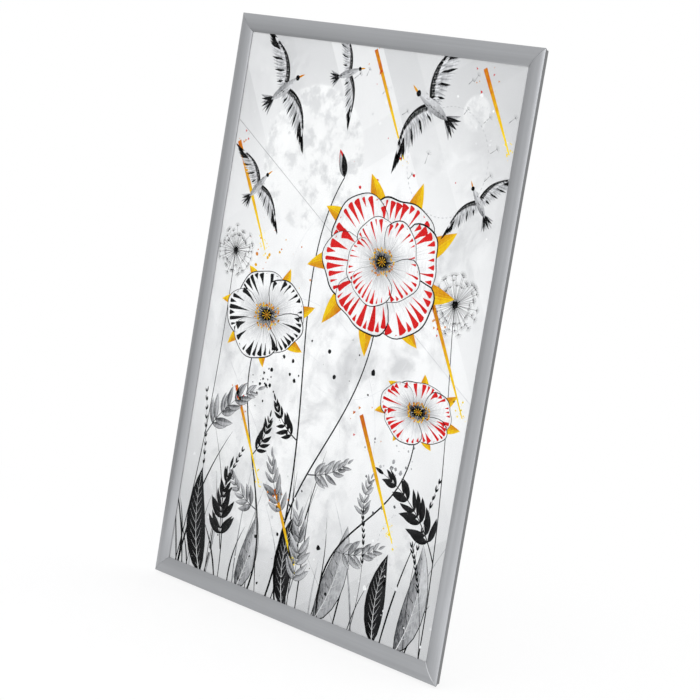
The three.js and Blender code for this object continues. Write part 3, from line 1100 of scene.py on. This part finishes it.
def meadow():
    """The stems and flowers that rise from the poster's foot."""
    large, middle, small = 84 + 128j, -182 - 4j, 226 - 96j
    stems = {
        "tall": bezier((-40 - 500j, -120 - 260j, 150 - 150j, large - 18j), 30),
        "left": bezier((-120 - 500j, -60 - 330j, -270 - 180j, middle - 16j), 26),
        "right": bezier((70 - 500j, 20 - 300j, 262 - 310j, small - 14j), 24),
        "bud": bezier((-70 - 500j, 10 - 180j, -150 + 60j, -40 + 262j), 30),
    }
    for path in stems.values():
        stroke(black, path, (4.6, 3.2, 2.4), (0, 0.3, 0.15), 2)
    for stem, at, lean, size in (
        ("tall", 7, 62, 120),
        ("tall", 12, -58, 104),
        ("left", 8, 60, 96),
        ("left", 13, -66, 84),
        ("right", 7, -60, 108),
        ("right", 12, 64, 78),
        ("bud", 10, 66, 92),
    ):
        path = stems[stem]
        ink = pick((black, grey))
        foot, way, bend = path[at], heading_at(path, at) + lean, -lean * 0.6
        sprig(ink, foot, way, size, bend, 6, size * 0.34, (0.05, 0.6), 3)
    bud(stems["bud"][-1], 112, 46)
    sepals(large, 150, 0.86, 20, 9)
    bloom(large, 150, 0.86, 6, 12, (red, 0.85), 7, crowned=False)
    bloom(large + 6j, 92, 0.84, 5, 40, (red, 0.6), 25)
    sepals(middle, 104, 0.74, 10, 7)
    bloom(middle, 108, 0.74, 5, 40, (black, 0.85), 7)
    sepals(small, 84, 0.62, 30, 7)
    bloom(small, 86, 0.62, 5, 20, (red, 0.8), 7)


def undergrowth():
    """Grass, seed heads and leaves low on the poster."""
    for _ in range(34):
        foot = complex(between(-330, 330), -498)
        length = between(90, 300)
        bend = between(-38, 38)
        ink = pick((black, grey, black))
        tones = (between(0, 0.4), between(0.5, 1))
        wide = between(2.2, 5.0)
        path = sweep(foot, 90 + between(-16, 16), length, bend, 14)
        stroke(ink, path, (wide * 0.7, wide, wide * 0.8, wide * 0.5, 0.3), tones, 1)
    for foot, heading, length, bend in (
        (-292 - 498j, 82, 330, 22),
        (-236 - 498j, 96, 250, -34),
        (284 - 498j, 100, 300, -26),
        (150 - 498j, 78, 210, 30),
        (320 - 498j, 95, 190, 24),
    ):
        grain_head(foot, heading, length, bend)
    for ink, foot, heading, length, width, bend in (
        (black, -250 - 500j, 118, 200, 54, -34),
        (grey, -150 - 500j, 66, 150, 44, 26),
        (black, -20 - 500j, 112, 170, 46, -40),
        (grey, 60 - 500j, 58, 190, 52, 34),
        (black, 210 - 500j, 104, 160, 46, -30),
        (grey, 262 - 500j, 62, 200, 50, 40),
    ):
        broad_leaf(ink, foot, heading, length, width, bend)
    for ink, foot, heading, length, bend in (
        (grey, -297 - 250j, 62, 170, -40),
        (black, 316 - 330j, 118, 190, 46),
        (grey, -10 - 470j, 74, 150, 40),
        (black, -205 - 440j, 108, 150, -30),
    ):
        sprig(ink, foot, heading, length, bend, 9, 48, (0, 0.7), 4)


def air():
    """Birds, seed heads, drifting seeds, streaks and drops higher up."""
    for centre, size, heading, spread in (
        (-236 + 392j, 112, 34, 40),
        (-76 + 438j, 82, 18, 62),
        (150 + 402j, 124, 152, 34),
        (286 + 258j, 84, 128, 58),
        (-262 + 214j, 88, 46, 52),
    ):
        bird(centre, size, heading, spread)
    stems = ((-292 + 96j, 44, -324 - 498j), (268 + 92j, 50, 320 - 498j))
    for centre, radius, foot in stems:
        path = bezier((foot, (foot + centre) / 2 + 30, centre - 60j, centre), 20)
        stroke(black, path, (2.6, 1.6, 1.4), (0.2, 0.4), 2)
        seed_clock(centre, radius)
    for _ in range(16):
        place = complex(between(-60, 320), between(250, 470))
        heading, size = between(30, 80), between(9, 17)
        tip = place + turn(size, heading)
        stroke(grey, [place, tip], (1.3, 0.4), (0.2, 0.2), 3)
        tuft(grey, tip, heading, size * 0.5, 0.2, 4)
    for start, end, width in (
        (-330 + 292j, -214 + 108j, 9.5),
        (-14 + 486j, 96 + 310j, 8.0),
        (246 + 478j, 330 + 346j, 8.5),
        (96 - 128j, 218 - 322j, 9.5),
        (-232 - 142j, -132 - 300j, 8.0),
        (214 + 92j, 326 - 86j, 8.5),
        (-86 - 300j, -6 - 428j, 8.0),
    ):
        streak(start, end, width)
    for centre, count, reach, largest, ink in (
        (60 + 30j, 46, 130, 5.5, black),
        (-150 - 120j, 40, 110, 4.5, black),
        (190 - 200j, 34, 90, 4.0, grey),
        (-30 - 420j, 60, 200, 5.0, black),
        (100 + 210j, 26, 150, 3.6, red),
        (-200 + 90j, 22, 120, 3.2, gold),
        (-250 + 420j, 26, 150, 3.4, white),
        (30 + 430j, 30, 130, 3.6, white),
        (270 + 380j, 24, 120, 3.4, white),
        (-240 - 380j, 34, 150, 3.8, white),
        (210 - 400j, 40, 170, 4.2, white),
        (-20 - 330j, 24, 120, 3.4, white),
    ):
        spatter(ink, centre, count, reach, largest)


def circles():
    """Fine construction circles and two long hair lines."""
    for centre, radius, width, tone, dashes in (
        (-96 - 196j, 236, 0.9, 0.9, 0),
        (-96 - 196j, 150, 0.8, 1.0, 0),
        (196 + 318j, 92, 1.2, 0.6, 64),
        (30 + 60j, 172, 0.8, 1.0, 0),
        (250 - 330j, 66, 1.2, 0.7, 48),
    ):
        ring(centre, radius, width, tone, dashes)
    stroke(grey, [-338 + 330j, 338 - 60j], (1, 1), (0.3, 0.8), 1)
    stroke(grey, [-338 - 20j, 120 - 498j], (0.9, 0.9), (0.9, 0.4), 1)


def make_artwork():
    """All the inks of the poster."""
    circles()
    undergrowth()
    meadow()
    air()
    for ink in INKS:
        ink.build()


# Studio


def background_ray(tree):
    """1 for the rays that see the white background: camera, gloss and glass."""
    rays = add(tree, "LightPath").outputs
    seen = maths(tree, "MAXIMUM", rays["Is Camera Ray"], rays["Is Glossy Ray"])
    return maths(tree, "MAXIMUM", seen, rays["Is Transmission Ray"])


def plain_white(tree):
    """White all round."""
    return add(tree, "Background", {"Color": WHITE, "Strength": 1.0})


def make_world():
    """The world around the scene."""
    world = bpy.data.worlds.new("studio")
    fill(world, "OutputWorld", plain_white)
    bpy.context.scene.world = world


def white_glow(tree, strength):
    """Plain white light from a surface."""
    return add(tree, "Emission", {"Color": WHITE, "Strength": strength})


def shadow_catcher(tree):
    """A matt floor that keeps the shadow and fades into the white background."""
    reach = vector_maths(tree, "LENGTH", place_on_piece(tree))
    limits = (SHADOW_NEAR, SHADOW_FAR, SHADOW_PALENESS, 1.0)
    pale = product(tree, remap(tree, reach, *limits, smooth=True), background_ray(tree))
    matt = add(tree, "BsdfDiffuse", {"Color": FLOOR_COLOUR})
    shown = {0: pale, 1: matt.outputs[0], 2: white_glow(tree, 1.0).outputs[0]}
    return add(tree, "MixShader", shown)


def make_floor():
    """The floor, a little under the frame, so that the open bottom rail clears it."""
    bpy.ops.mesh.primitive_plane_add(size=FLOOR_SIZE, location=(0, 0, FLOOR_LEVEL))
    floor = bpy.context.object
    floor.name = "studio_floor"
    floor.data.materials.append(new_material("studio_floor", shadow_catcher))


def aimed(place, target, axis):
    """The turn that points an object's axis from its place to a target."""
    aim = Vector(target) - Vector(place)
    return aim.to_track_quat(axis, "Y").to_euler()


def make_lamps():
    """Plain soft studio light."""
    for name, (place, target, size, power) in LAMPS.items():
        data = bpy.data.lights.new(name, "AREA")
        data.shape = "RECTANGLE"
        data.size, data.size_y = size
        data.energy = power
        lamp = add_object(name, data)
        lamp.location = place
        lamp.rotation_euler = aimed(place, target, "-Z")


def make_cards():
    """Dark and white cards around the frame."""
    for name, (place, size, target, tone) in CARDS.items():
        bpy.ops.mesh.primitive_plane_add(size=1, location=place)
        card = bpy.context.object
        card.name = f"studio_{name}"
        card.scale = (*size, 1)
        card.rotation_euler = aimed(place, target, "Z")
        card.data.materials.append(new_material(card.name, white_glow, tone))
        for ray in ("camera", "diffuse", "transmission", "shadow"):
            setattr(card, f"visible_{ray}", False)


def make_camera():
    """The photograph's view."""
    data = bpy.data.cameras.new("view")
    data.lens = LENS
    data.sensor_width = SENSOR
    data.clip_end = CLIP_END
    camera = add_object("view", data)
    back = CAMERA_RIGHT.cross(CAMERA_UP)
    axes = Matrix((CAMERA_RIGHT, CAMERA_UP, back)).transposed()
    camera.matrix_world = Matrix.Translation(CAMERA_PLACE) @ axes.to_4x4()
    bpy.context.scene.camera = camera


dress_all()
make_artwork()
make_world()
make_floor()
make_lamps()
make_cards()
make_camera()
bpy.context.scene.view_settings.view_transform = "Standard"
